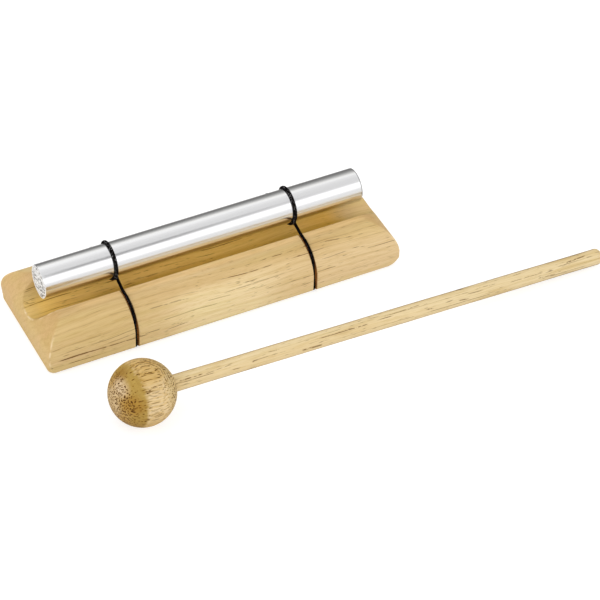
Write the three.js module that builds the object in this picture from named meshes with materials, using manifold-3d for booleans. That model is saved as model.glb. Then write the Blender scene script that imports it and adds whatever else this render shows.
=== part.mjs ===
// Chime bar: an aluminium rod slung on two elastic cords over a wooden resonator block,
// with its wooden mallet lying in front. Millimetres, +Z up, +X along the rod, -Y to the front.
// Origin: centre of the block's underside.
import * as THREE from "three";
import { mergeVertices } from "three/addons/utils/BufferGeometryUtils.js";
import Module from "manifold-3d";

// Resonator block
const BLOCK_L = 174.4; // along X
const BLOCK_W = 56.4; // along Y
const BLOCK_H = 22; // underside to the rims of the cove
const DOME_H = 13.8; // height of the rounding over all four sides
const DOME_SIDE = 15.2; // its width over the long sides
const DOME_END = 13.2; // its width over the ends
const FOOT_R = 2.8; // eased edge round the underside
const COVE_R = 11.7; // round groove along the top
const COVE_Z = 25.4; // height of the groove's centre line
// Saw kerfs that hold the cords, one at each node of the rod
const CORD_LEFT = -44.7;
const CORD_RIGHT = 43.9;
const KERF_W = 2;
const KERF_DEPTH = 2.2;
// Rod
const ROD_D = 16;
const ROD_L = 157.3;
const ROD_X = -0.55; // its middle, from the block's
const ROD_Y = 1.2; // a little behind the block's centre line
const ROD_Z = 29.5; // height of its centre line
const ROD_CHAMFER = 0.35;
// Elastic cords
const CORD_D = 1.5;
const CORD_TOP = 0.6; // centre line above the block's surface at the rims
const CORD_SIDE = 0.6; // and below it down the sides
const CORD_FOOT = 1.05; // height of the centre line under the block
const CORD_BEND = 3; // centre line's bend at the block's lower edges
const WRAP_R = 9; // centre line of the turn round the rod
const WRAP_START = -2.1; // where the turn starts, along X from the kerf
const WRAP_LEAN = -0.9; // where it lies up the front and over the top
const WRAP_END = 1.8; // where it ends
const CORD_JOIN = 0.3; // between the cord's two ends, under the block
// Mallet
const BALL_D = 30.2;
const BALL_X = -60.27;
const BALL_Y = -67.73;
const HANDLE_D = 7.6;
const HANDLE_REACH = 233.7; // ball's centre to the handle's far end
const HANDLE_YAW = 0.75; // degrees, from the block's long side
const SOCKET_DEPTH = 19; // blind hole in the ball
const SOCKET_GAP = 0.25; // glue line

const wasm = await Module();
wasm.setup();

function solid(geometry, matrix) {
  const g = geometry.clone();
  g.deleteAttribute("normal");
  g.deleteAttribute("uv");
  if (matrix) g.applyMatrix4(matrix);
  const m = mergeVertices(g, 1e-4);
  return new wasm.Manifold(
    new wasm.Mesh({
      numProp: 3,
      vertProperties: new Float32Array(m.attributes.position.array),
      triVerts: new Uint32Array(m.index.array),
    }),
  );
}

function geometryOf(manifold) {
  const m = manifold.getMesh();
  const n = m.numProp;
  const v = new Float32Array(m.numVert * 3);
  for (let i = 0; i < m.numVert; i++)
    v.set(m.vertProperties.subarray(i * n, i * n + 3), i * 3);
  const g = new THREE.BufferGeometry();
  g.setAttribute("position", new THREE.BufferAttribute(v, 3));
  g.setIndex(new THREE.BufferAttribute(new Uint32Array(m.triVerts), 1));
  g.computeVertexNormals();
  return g;
}

// Domed outline: flat underside, eased foot, short upright wall, elliptic rounding up to a flat top.
function domedOutline(half, bottom, foot, wallTop, width, height) {
  const s = new THREE.Shape();
  s.moveTo(-half + foot, bottom);
  s.lineTo(half - foot, bottom);
  s.absarc(half - foot, bottom + foot, foot, -Math.PI / 2, 0, false);
  s.lineTo(half, wallTop);
  s.absellipse(half - width, wallTop, width, height, 0, Math.PI / 2, false);
  s.lineTo(-half + width, wallTop + height);
  s.absellipse(
    -half + width,
    wallTop,
    width,
    height,
    Math.PI / 2,
    Math.PI,
    false,
  );
  s.lineTo(-half, bottom + foot);
  s.absarc(-half + foot, bottom + foot, foot, Math.PI, 1.5 * Math.PI, false);
  return s;
}

function prism(shape, length, segments) {
  const g = new THREE.ExtrudeGeometry(shape, {
    depth: length,
    bevelEnabled: false,
    curveSegments: segments,
  });
  g.translate(0, 0, -length / 2);
  return g;
}

// Outline's (x, y) become (Y, Z) and it runs along X.
const ALONG_X = new THREE.Matrix4().makeBasis(
  new THREE.Vector3(0, 1, 0),
  new THREE.Vector3(0, 0, 1),
  new THREE.Vector3(1, 0, 0),
);
// Outline's (x, y) become (X, Z) and it runs along -Y.
const ALONG_Y = new THREE.Matrix4().makeBasis(
  new THREE.Vector3(1, 0, 0),
  new THREE.Vector3(0, 0, 1),
  new THREE.Vector3(0, -1, 0),
);

const wallTop = BLOCK_H - DOME_H;

function makeBlock() {
  const outline = (length, width) =>
    domedOutline(length / 2, 0, FOOT_R, wallTop, width, DOME_H);
  let block = solid(
    prism(outline(BLOCK_W, DOME_SIDE), BLOCK_L + 20, 14),
    ALONG_X,
  ).intersect(solid(prism(outline(BLOCK_L, DOME_END), BLOCK_W + 20, 14), ALONG_Y));
  const cove = new THREE.CylinderGeometry(COVE_R, COVE_R, BLOCK_L + 40, 64);
  cove.rotateZ(Math.PI / 2);
  cove.translate(0, 0, COVE_Z);
  block = block.subtract(solid(cove));
  // Kerf floor: the same outline, KERF_DEPTH further in.
  const floor = prism(
    domedOutline(
      BLOCK_W / 2 - KERF_DEPTH,
      KERF_DEPTH,
      4,
      wallTop,
      DOME_SIDE - KERF_DEPTH,
      DOME_H - KERF_DEPTH,
    ),
    KERF_W + 2,
    14,
  );
  const slab = new THREE.BoxGeometry(KERF_W, BLOCK_W + 20, BLOCK_H * 3);
  const kerf = solid(slab).subtract(solid(floor, ALONG_X));
  for (const x of [CORD_LEFT, CORD_RIGHT])
    block = block.subtract(kerf.translate([x, 0, 0]));
  return geometryOf(block);
}

function makeRod() {
  const r = ROD_D / 2;
  const h = ROD_L / 2;
  const c = ROD_CHAMFER;
  const g = new THREE.LatheGeometry(
    [
      new THREE.Vector2(0, -h),
      new THREE.Vector2(r - c, -h),
      new THREE.Vector2(r, -h + c),
      new THREE.Vector2(r, h - c),
      new THREE.Vector2(r - c, h),
      new THREE.Vector2(0, h),
    ],
    64,
  );
  g.rotateZ(-Math.PI / 2);
  return g;
}

// Centre line of one cord, from its join under the block: along the kerf up the back, over the
// rear rim, once round the rod, over the front rim and down the front to the join again.
function cordRoute() {
  const pts = [];
  const half = BLOCK_W / 2 - CORD_SIDE;
  const yTop = BLOCK_W / 2 - DOME_SIDE;
  const b = CORD_BEND;
  // One side of the block, from the join to the rim: low and deep in the kerf, proud at the rim.
  const side = (sign) => {
    const run = [
      new THREE.Vector3(0, (sign * CORD_JOIN) / 2, CORD_FOOT),
      new THREE.Vector3(0, sign * (half - b - 6), CORD_FOOT),
    ];
    for (let i = 0; i <= 3; i++) {
      const a = -Math.PI / 2 + ((Math.PI / 2) * i) / 3;
      run.push(
        new THREE.Vector3(
          0,
          sign * (half - b + b * Math.cos(a)),
          CORD_FOOT + b + b * Math.sin(a),
        ),
      );
    }
    for (let i = 1; i <= 7; i++) {
      const a = ((Math.PI / 2) * i) / 7;
      const out = THREE.MathUtils.lerp(-CORD_SIDE, CORD_TOP, (i / 7) ** 2);
      run.push(
        new THREE.Vector3(
          0,
          sign * (yTop + (DOME_SIDE + out) * Math.cos(a)),
          wallTop + (DOME_H + out) * Math.sin(a),
        ),
      );
    }
    return run;
  };
  pts.push(...side(1));
  // The turn round the rod: it leaves the rear rim, goes under the rod, up its front, over the
  // top and down its back, and under it again to the front rim.
  const turns = 24;
  for (let i = 0; i <= turns; i++) {
    const t = i / turns;
    const a = -Math.PI / 2 - 2 * Math.PI * t;
    const x =
      WRAP_LEAN +
      (WRAP_START - WRAP_LEAN) * (1 - t) ** 8 +
      (WRAP_END - WRAP_LEAN) * t ** 4;
    pts.push(
      new THREE.Vector3(
        x,
        ROD_Y + WRAP_R * Math.cos(a),
        ROD_Z + WRAP_R * Math.sin(a),
      ),
    );
  }
  pts.push(...side(-1).reverse());
  return new THREE.CatmullRomCurve3(pts, false, "centripetal");
}

function makeCord() {
  const section = new THREE.Shape();
  section.absarc(0, 0, CORD_D / 2, 0, 2 * Math.PI, false);
  return new THREE.ExtrudeGeometry(section, {
    steps: 80,
    curveSegments: 4,
    extrudePath: cordRoute(),
    bevelEnabled: false,
  });
}

// Ball with its blind socket towards +X.
function makeBall() {
  const ball = new THREE.SphereGeometry(BALL_D / 2, 32, 20);
  ball.rotateZ(-Math.PI / 2);
  const r = HANDLE_D / 2 + SOCKET_GAP;
  const hole = new THREE.CylinderGeometry(r, r, SOCKET_DEPTH + 10, 24);
  hole.rotateZ(Math.PI / 2);
  hole.translate(BALL_D / 2 - SOCKET_DEPTH + (SOCKET_DEPTH + 10) / 2, 0, 0);
  return geometryOf(solid(ball).subtract(solid(hole)));
}

// Stick along +X: a square end in the socket, a rounded far end.
function makeHandle() {
  const r = HANDLE_D / 2;
  const start = BALL_D / 2 - SOCKET_DEPTH + SOCKET_GAP;
  const pts = [new THREE.Vector2(0, start), new THREE.Vector2(r, start)];
  const nose = 2.4; // radius of the far end's edge
  for (let i = 0; i <= 5; i++) {
    const a = ((Math.PI / 2) * i) / 5;
    pts.push(
      new THREE.Vector2(
        r - nose + nose * Math.cos(a),
        HANDLE_REACH - nose + nose * Math.sin(a),
      ),
    );
  }
  pts.push(new THREE.Vector2(0, HANDLE_REACH));
  const g = new THREE.LatheGeometry(pts, 24);
  g.rotateZ(-Math.PI / 2);
  return g;
}

const wood = (color, roughness) =>
  new THREE.MeshStandardMaterial({ color, roughness, metalness: 0 });
const blockWood = wood(0xdfc38a, 0.55);
const ballWood = wood(0xc49a5c, 0.5);
const stickWood = wood(0xdcbb82, 0.55);
const aluminium = new THREE.MeshStandardMaterial({
  color: 0xd9dade,
  roughness: 0.18,
  metalness: 1,
});
const elastic = new THREE.MeshStandardMaterial({
  color: 0x141212,
  roughness: 0.75,
  metalness: 0,
});

function piece(name, geometry, material, parent) {
  const mesh = new THREE.Mesh(geometry, material);
  mesh.name = name;
  parent.add(mesh);
  return mesh;
}

const chimeBar = new THREE.Group();
piece("resonator_base", makeBlock(), blockWood, chimeBar);
piece("chime_rod", makeRod(), aluminium, chimeBar).position.set(
  ROD_X,
  ROD_Y,
  ROD_Z,
);
const cord = makeCord();
piece("left_cord", cord, elastic, chimeBar).position.x = CORD_LEFT;
piece("right_cord", cord.clone(), elastic.clone(), chimeBar).position.x =
  CORD_RIGHT;

// The mallet rests on the same surface: on its ball and on the far end of its stick.
const mallet = new THREE.Group();
mallet.position.set(BALL_X, BALL_Y, BALL_D / 2);
mallet.rotation.order = "ZYX";
mallet.rotation.z = THREE.MathUtils.degToRad(HANDLE_YAW);
mallet.rotation.y = Math.asin((BALL_D - HANDLE_D) / 2 / HANDLE_REACH);
piece("mallet_head", makeBall(), ballWood, mallet);
piece("mallet_handle", makeHandle(), stickWood, mallet);
chimeBar.add(mallet);

export default chimeBar;
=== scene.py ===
import math

import bpy
import numpy as np
from mathutils import Matrix, Vector


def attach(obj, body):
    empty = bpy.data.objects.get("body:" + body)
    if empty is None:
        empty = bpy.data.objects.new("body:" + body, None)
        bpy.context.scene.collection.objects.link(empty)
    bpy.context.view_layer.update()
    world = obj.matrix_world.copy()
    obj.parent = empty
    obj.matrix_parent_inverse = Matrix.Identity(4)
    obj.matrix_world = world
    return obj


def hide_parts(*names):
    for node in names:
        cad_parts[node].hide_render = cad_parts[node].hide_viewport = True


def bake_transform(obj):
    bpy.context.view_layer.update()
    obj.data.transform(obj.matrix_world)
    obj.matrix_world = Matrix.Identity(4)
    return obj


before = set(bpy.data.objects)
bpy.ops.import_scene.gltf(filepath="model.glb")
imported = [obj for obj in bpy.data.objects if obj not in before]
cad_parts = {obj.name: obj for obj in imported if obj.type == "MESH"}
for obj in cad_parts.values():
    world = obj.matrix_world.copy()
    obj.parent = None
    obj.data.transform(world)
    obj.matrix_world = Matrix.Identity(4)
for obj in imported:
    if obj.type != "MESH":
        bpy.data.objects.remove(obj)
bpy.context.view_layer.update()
MM = 0.001

# ---------------------------------------------------------------- sizes, mm, as in the CAD
BLOCK_L, BLOCK_W, BLOCK_H = 174.4, 56.4, 22.0
DOME_H, DOME_SIDE, DOME_END = 13.8, 15.2, 13.2
FOOT_R = 2.8
COVE_R, COVE_Z = 11.7, 25.4
KERFS = {"left": -44.7, "right": 43.9}
KERF_W = 1.75
ROD_R, ROD_L, ROD_X, ROD_Y, ROD_Z = 8.0, 157.3, -0.55, 1.2, 29.5
BALL_R, BALL_X, BALL_Y = 15.1, -60.27, -67.73
STICK_R, STICK_REACH, STICK_YAW = 3.8, 233.7, 0.75
WALL_TOP = BLOCK_H - DOME_H


# ---------------------------------------------------------------- small helpers
def smooth(lo, hi, v):
    t = np.clip((v - lo) / (hi - lo), 0.0, 1.0)
    return t * t * (3 - 2 * t)


def mesh_object(name, verts, faces, normals=None):
    me = bpy.data.meshes.new(name)
    me.from_pydata([tuple(v) for v in verts], [], [tuple(f) for f in faces])
    me.validate()
    me.update()
    me.polygons.foreach_set("use_smooth", [True] * len(me.polygons))
    if normals is not None:
        me.normals_split_custom_set_from_vertices([tuple(n) for n in normals])
    ob = bpy.data.objects.new(name, me)
    bpy.context.scene.collection.objects.link(ob)
    return ob


# ---------------------------------------------------------------- camera
# Longer lens from the front left, above the block, with the photo's slight roll.
CAM_AT = np.array([-411.2154, -862.9566, 887.8578])
CAM_RIGHT = np.array([0.8938579, -0.4473437, 0.0300268])
CAM_UP = np.array([0.2870418, 0.6224261, 0.7281434])
CAM_LOOK = np.array([0.3444198, 0.6422378, -0.6847668])
half_pixel = 0.5 / 2.2
at = CAM_AT - CAM_RIGHT * half_pixel + CAM_UP * half_pixel
cam_data = bpy.data.cameras.new("camera")
cam_data.lens = 2850.0 / 600.0 * 36.0
cam_data.sensor_width = 36.0
cam_data.sensor_fit = "HORIZONTAL"
cam_data.clip_start, cam_data.clip_end = 0.05, 20.0
cam = bpy.data.objects.new("camera", cam_data)
bpy.context.scene.collection.objects.link(cam)
cam.matrix_world = Matrix(
    (
        (CAM_RIGHT[0], CAM_UP[0], -CAM_LOOK[0], at[0] * MM),
        (CAM_RIGHT[1], CAM_UP[1], -CAM_LOOK[1], at[1] * MM),
        (CAM_RIGHT[2], CAM_UP[2], -CAM_LOOK[2], at[2] * MM),
        (0, 0, 0, 1),
    )
)
bpy.context.scene.camera = cam


# ---------------------------------------------------------------- node helpers
class Nodes:
    """Builds a node tree with short calls. Every call returns an output socket."""

    def __init__(self, tree):
        self.t = tree

    def new(self, kind, **props):
        n = self.t.nodes.new(kind)
        for k, v in props.items():
            setattr(n, k, v)
        return n

    def put(self, socket, value):
        if isinstance(value, bpy.types.NodeSocket):
            self.t.links.new(value, socket)
        elif value is not None:
            socket.default_value = value

    def math(self, op, a, b=None, c=None, clamp=False):
        n = self.new("ShaderNodeMath", operation=op, use_clamp=clamp)
        self.put(n.inputs[0], a)
        if b is not None:
            self.put(n.inputs[1], b)
        if c is not None:
            self.put(n.inputs[2], c)
        return n.outputs[0]

    def vmath(self, op, a, b=None):
        n = self.new("ShaderNodeVectorMath", operation=op)
        self.put(n.inputs[0], a)
        if b is not None:
            self.put(n.inputs[1], b)
        return n.outputs[0]

    def scale(self, v, s):
        """Vector times a vector of three numbers."""
        return self.vmath("MULTIPLY", v, tuple(s))

    def split(self, v):
        n = self.new("ShaderNodeSeparateXYZ")
        self.put(n.inputs[0], v)
        return n.outputs

    def join(self, x, y, z):
        n = self.new("ShaderNodeCombineXYZ")
        for s, v in zip(n.inputs, (x, y, z)):
            self.put(s, v)
        return n.outputs[0]

    def noise(self, v, scale=1.0, detail=2.0, rough=0.5, distortion=0.0, dims="3D"):
        n = self.new("ShaderNodeTexNoise", noise_dimensions=dims)
        self.put(n.inputs["Vector"], v)
        n.inputs["Scale"].default_value = scale
        n.inputs["Detail"].default_value = detail
        n.inputs["Roughness"].default_value = rough
        n.inputs["Distortion"].default_value = distortion
        return n.outputs["Fac"]

    def noise_vec(self, v, scale=1.0, detail=1.0):
        n = self.new("ShaderNodeTexNoise")
        self.put(n.inputs["Vector"], v)
        n.inputs["Scale"].default_value = scale
        n.inputs["Detail"].default_value = detail
        return self.vmath("SUBTRACT", n.outputs["Color"], (0.5, 0.5, 0.5))

    def voronoi(self, v, scale=1.0, randomness=1.0, dims="3D"):
        n = self.new("ShaderNodeTexVoronoi", feature="F1", voronoi_dimensions=dims)
        self.put(n.inputs["Vector"], v)
        n.inputs["Scale"].default_value = scale
        n.inputs["Randomness"].default_value = randomness
        return n.outputs["Distance"], n.outputs["Color"]

    def remap(self, v, a, b, c=0.0, d=1.0, kind="SMOOTHSTEP"):
        n = self.new("ShaderNodeMapRange", interpolation_type=kind, clamp=True)
        self.put(n.inputs["Value"], v)
        for name, x in (("From Min", a), ("From Max", b), ("To Min", c), ("To Max", d)):
            self.put(n.inputs[name], x)
        return n.outputs["Result"]

    def mix(self, fac, a, b, blend="MIX"):
        n = self.new("ShaderNodeMix", data_type="RGBA", blend_type=blend)
        n.clamp_factor = True
        self.put(n.inputs["Factor"], fac)
        for socket, value in ((n.inputs[6], a), (n.inputs[7], b)):
            if isinstance(value, tuple) and len(value) == 3:
                value = (*value, 1.0)
            self.put(socket, value)
        return n.outputs[2]

    def attribute(self, name):
        return self.new("ShaderNodeAttribute", attribute_name=name).outputs["Fac"]

    def bump(self, height, distance, strength=1.0, normal=None):
        n = self.new("ShaderNodeBump")
        n.inputs["Strength"].default_value = strength
        n.inputs["Distance"].default_value = distance
        self.put(n.inputs["Height"], height)
        if normal is not None:
            self.put(n.inputs["Normal"], normal)
        return n.outputs["Normal"]


def material(name):
    m = bpy.data.materials.new(name)
    m.use_nodes = True
    t = m.node_tree
    t.nodes.clear()
    out = t.nodes.new("ShaderNodeOutputMaterial")
    shader = t.nodes.new("ShaderNodeBsdfPrincipled")
    t.links.new(shader.outputs[0], out.inputs[0])
    return m, Nodes(t), shader.inputs


def srgb(r, g, b):
    def lin(c):
        c /= 255.0
        return c / 12.92 if c <= 0.04045 else ((c + 0.055) / 1.055) ** 2.4

    return (lin(r), lin(g), lin(b))


# ---------------------------------------------------------------- wood
def wood(name, tone, warm, line, shift=(0, 0, 0), pith=(-85.0, -58.0), ring=2.7, lines=1.0, pores=1.0,
         fine=1.0, wander=1.0, roughness=0.5, plain_ends=False, dense=0.0, figure=1.0, quiet=None, extra=None):
    """Open-pored pale wood with its grain along the object's X, solid all through.
    tone and warm are the two ground colours, line the colour of grain lines and pores;
    pith is the (y, z) centre, mm, of the growth rings and ring their spacing."""
    m, n, p = material(name)
    coord = n.new("ShaderNodeTexCoord").outputs["Object"]
    mm = n.scale(coord, (1000, 1000, 1000))
    seat = n.vmath("ADD", mm, tuple(shift))
    # Slow bends of the fibres along the piece, then smaller ones
    bend = n.noise_vec(n.scale(seat, (0.011, 0.02, 0.02)), 1.0, 1.0)
    bent = n.vmath("ADD", seat, n.scale(bend, (0, 8 * wander, 8 * wander)))
    bend2 = n.noise_vec(n.scale(seat, (0.045, 0.08, 0.08)), 1.0, 1.0)
    bent = n.vmath("ADD", bent, n.scale(bend2, (0, 1.5 * wander, 1.5 * wander)))
    bx, by, bz = n.split(bent)
    # Distance from the pith gives the growth rings
    ry = n.math("SUBTRACT", by, pith[0] + shift[1])
    rz = n.math("SUBTRACT", bz, pith[1] + shift[2])
    rho = n.math("SQRT", n.math("ADD", n.math("MULTIPLY", ry, ry), n.math("MULTIPLY", rz, rz)))
    uneven = n.noise(n.scale(bent, (0.004, 0.05, 0.05)), 1.0, 1.0)
    turn = n.math("ADD", n.math("DIVIDE", rho, ring), n.math("MULTIPLY", uneven, 3.0))
    phase = n.math("FRACT", turn)
    late = n.math("ABSOLUTE", n.math("SUBTRACT", phase, 0.5))
    # Ground colour: broad bands, streaks, fibres, and a slow swell within each ring
    bands = n.noise(n.scale(bent, (0.006, 0.09, 0.09)), 1.0, 2.0, 0.5)
    streaks = n.noise(n.scale(bent, (0.016, 0.62, 0.62)), 1.0, 3.0, 0.6)
    fibre = n.noise(n.scale(bent, (0.10, 3.4, 3.4)), 1.0, 2.0, 0.6)
    ground = n.mix(n.remap(bands, 0.40, 0.62), tone, warm)
    dark = n.mix(1.0, ground, (0.84, 0.78, 0.62), "MULTIPLY")
    light = n.mix(1.0, ground, (1.06, 1.07, 1.10), "MULTIPLY")
    ground = n.mix(n.remap(streaks, 0.50, 0.72, 0.0, 0.48 * figure), ground, dark)
    ground = n.mix(n.remap(streaks, 0.46, 0.30, 0.0, 0.80 * figure), ground, light)
    ground = n.mix(n.remap(late, 0.30, 0.0, 0.0, 0.24 * figure), ground, dark)
    ground = n.mix(n.remap(fibre, 0.48, 0.72, 0.0, 0.75), ground, dark)
    ground = n.mix(n.remap(fibre, 0.46, 0.28, 0.0, 0.50), ground, light)
    # Growth lines: thin, and broken into stretches
    broken = n.noise(n.scale(bent, (0.075, 0.5, 0.5)), 1.0, 3.0, 0.7)
    per_ring = n.noise(n.scale(bent, (0.009, 0.30, 0.30)), 1.0, 1.0)
    width = n.remap(per_ring, 0.36, 0.66, 0.022, 0.085)
    rim = n.remap(late, width, n.math("MULTIPLY", width, 0.35))
    rim = n.math("MULTIPLY", rim, n.remap(broken, 0.44, 0.54))
    rim = n.math("MULTIPLY", rim, n.remap(per_ring, 0.40, 0.60, 0.25, 1.0))
    # Pores: vessels that run with the grain, so they show as broken hairlines on the sides and as
    # dots on the ends; more of them beside the growth lines
    patch = n.noise(n.scale(bent, (0.02, 0.10, 0.10)), 1.0, 1.0)
    crowd = n.math("ADD", n.remap(late, 0.34, 0.04, 0.0, 0.40), n.remap(patch, 0.35, 0.65, -0.12, 0.16, "LINEAR"))
    wobble = n.noise_vec(n.scale(seat, (0.13, 0.3, 0.3)), 1.0, 0.0)
    path = n.vmath("ADD", bent, n.scale(wobble, (0, 1.1, 1.1)))
    d1, c1 = n.voronoi(n.scale(path, (0.022 * fine, 0.95 * fine, 0.95 * fine)))
    pick = n.split(c1)
    vessel = n.remap(d1, n.remap(pick[1], 0.0, 1.0, 0.17, 0.27, "LINEAR"), 0.07)
    vessel = n.math("MULTIPLY", vessel, n.remap(n.math("SUBTRACT", n.math("ADD", crowd, 0.42 + dense), pick[0]), 0.0, 0.12))
    gaps = n.noise(n.scale(path, (0.16, 0.7, 0.7)), 1.0, 2.0, 0.6)
    vessel = n.math("MULTIPLY", vessel, n.remap(gaps, 0.42 - 0.25 * dense, 0.54 - 0.25 * dense))
    d2, c2 = n.voronoi(n.scale(path, (0.16 * fine, 1.9 * fine, 1.9 * fine)))
    pick2 = n.split(c2)
    slit = n.math("MULTIPLY", n.remap(d2, 0.30, 0.10), n.remap(n.math("SUBTRACT", n.math("MULTIPLY", crowd, 0.5), pick2[0]), -0.22, -0.12))
    if plain_ends:
        ends = n.attribute("ends")
        rim = n.math("MULTIPLY", rim, n.remap(ends, 0.0, 1.0, 1.0, 0.08))
        vessel = n.math("MULTIPLY", vessel, n.remap(ends, 0.0, 1.0, 1.0, 0.18))
        slit = n.math("MULTIPLY", slit, n.remap(ends, 0.0, 1.0, 1.0, 0.30))
    if quiet:
        calm = quiet(n, mm)
        rim, vessel, slit = (n.math("MULTIPLY", v, calm) for v in (rim, vessel, slit))
    inked = n.mix(1.0, ground, line, "MULTIPLY")
    colour = n.mix(n.math("MULTIPLY", rim, 0.90 * lines), ground, inked)
    colour = n.mix(n.math("MULTIPLY", vessel, 0.95 * pores), colour, inked)
    colour = n.mix(n.math("MULTIPLY", slit, 0.62 * pores), colour, inked)
    slit = n.math("MAXIMUM", slit, vessel)
    if extra:
        colour = extra(n, mm, bent, colour)
    n.put(p["Base Color"], colour)
    height = n.math("ADD", n.math("MULTIPLY", slit, -1.0), n.math("MULTIPLY", fibre, 0.35))
    height = n.math("ADD", height, n.math("MULTIPLY", rim, -0.6))
    n.put(p["Normal"], n.bump(height, 0.00006, 0.5))
    n.put(p["Roughness"], n.remap(fibre, 0.3, 0.8, roughness - 0.06, roughness + 0.08, "LINEAR"))
    p["Specular IOR Level"].default_value = 0.15
    return m


def block_quiet(n, mm):
    """Fewer lines on the left half's upper slope and on the brow's right end than elsewhere."""
    x, y, z = n.split(mm)
    calm = n.math("MULTIPLY", n.remap(z, 11.5, 15.0), n.remap(x, -5.0, -30.0))
    calm = n.math("MULTIPLY", calm, n.remap(y, -9.0, -12.5))
    right = n.math("MULTIPLY", n.remap(z, 20.2, 20.6), n.remap(z, 21.75, 21.45))
    right = n.math("MULTIPLY", right, n.math("MULTIPLY", n.remap(x, 42.0, 47.0), n.remap(y, -14.5, -16.0)))
    calm = n.math("MAXIMUM", calm, right)
    return n.math("SUBTRACT", 1.0, n.math("MULTIPLY", calm, 0.72))


def grain_line(n, mm, x0, z0, x1, z1, thick, seed):
    """One dark growth line along the front slope, from (x0, z0) to (x1, z1), a little broken."""
    x, y, z = n.split(mm)
    slope = (z1 - z0) / (x1 - x0)
    drift = n.noise(n.join(n.math("MULTIPLY", x, 0.07), seed, 0.0), 1.0, 2.0)
    level = n.math("ADD", n.math("MULTIPLY", x, slope), z0 - slope * x0)
    level = n.math("ADD", level, n.math("MULTIPLY", n.math("SUBTRACT", drift, 0.5), 1.2))
    away = n.math("ABSOLUTE", n.math("SUBTRACT", z, level))
    gaps = n.noise(n.join(n.math("MULTIPLY", x, 0.30), seed + 7.0, n.math("MULTIPLY", z, 0.6)), 1.0, 2.0, 0.6)
    width = n.math("MULTIPLY", n.remap(gaps, 0.34, 0.60, 0.50, 1.0), thick)
    body = n.remap(away, width, n.math("MULTIPLY", width, 0.4))
    run = n.math("MULTIPLY", n.remap(x, x0, x0 + 3), n.remap(x, x1, x1 - 3))
    body = n.math("MULTIPLY", body, n.remap(gaps, 0.36, 0.46, 0.45, 1.0))
    return n.math("MULTIPLY", n.math("MULTIPLY", body, run), n.remap(y, -14.0, -16.0))


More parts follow.
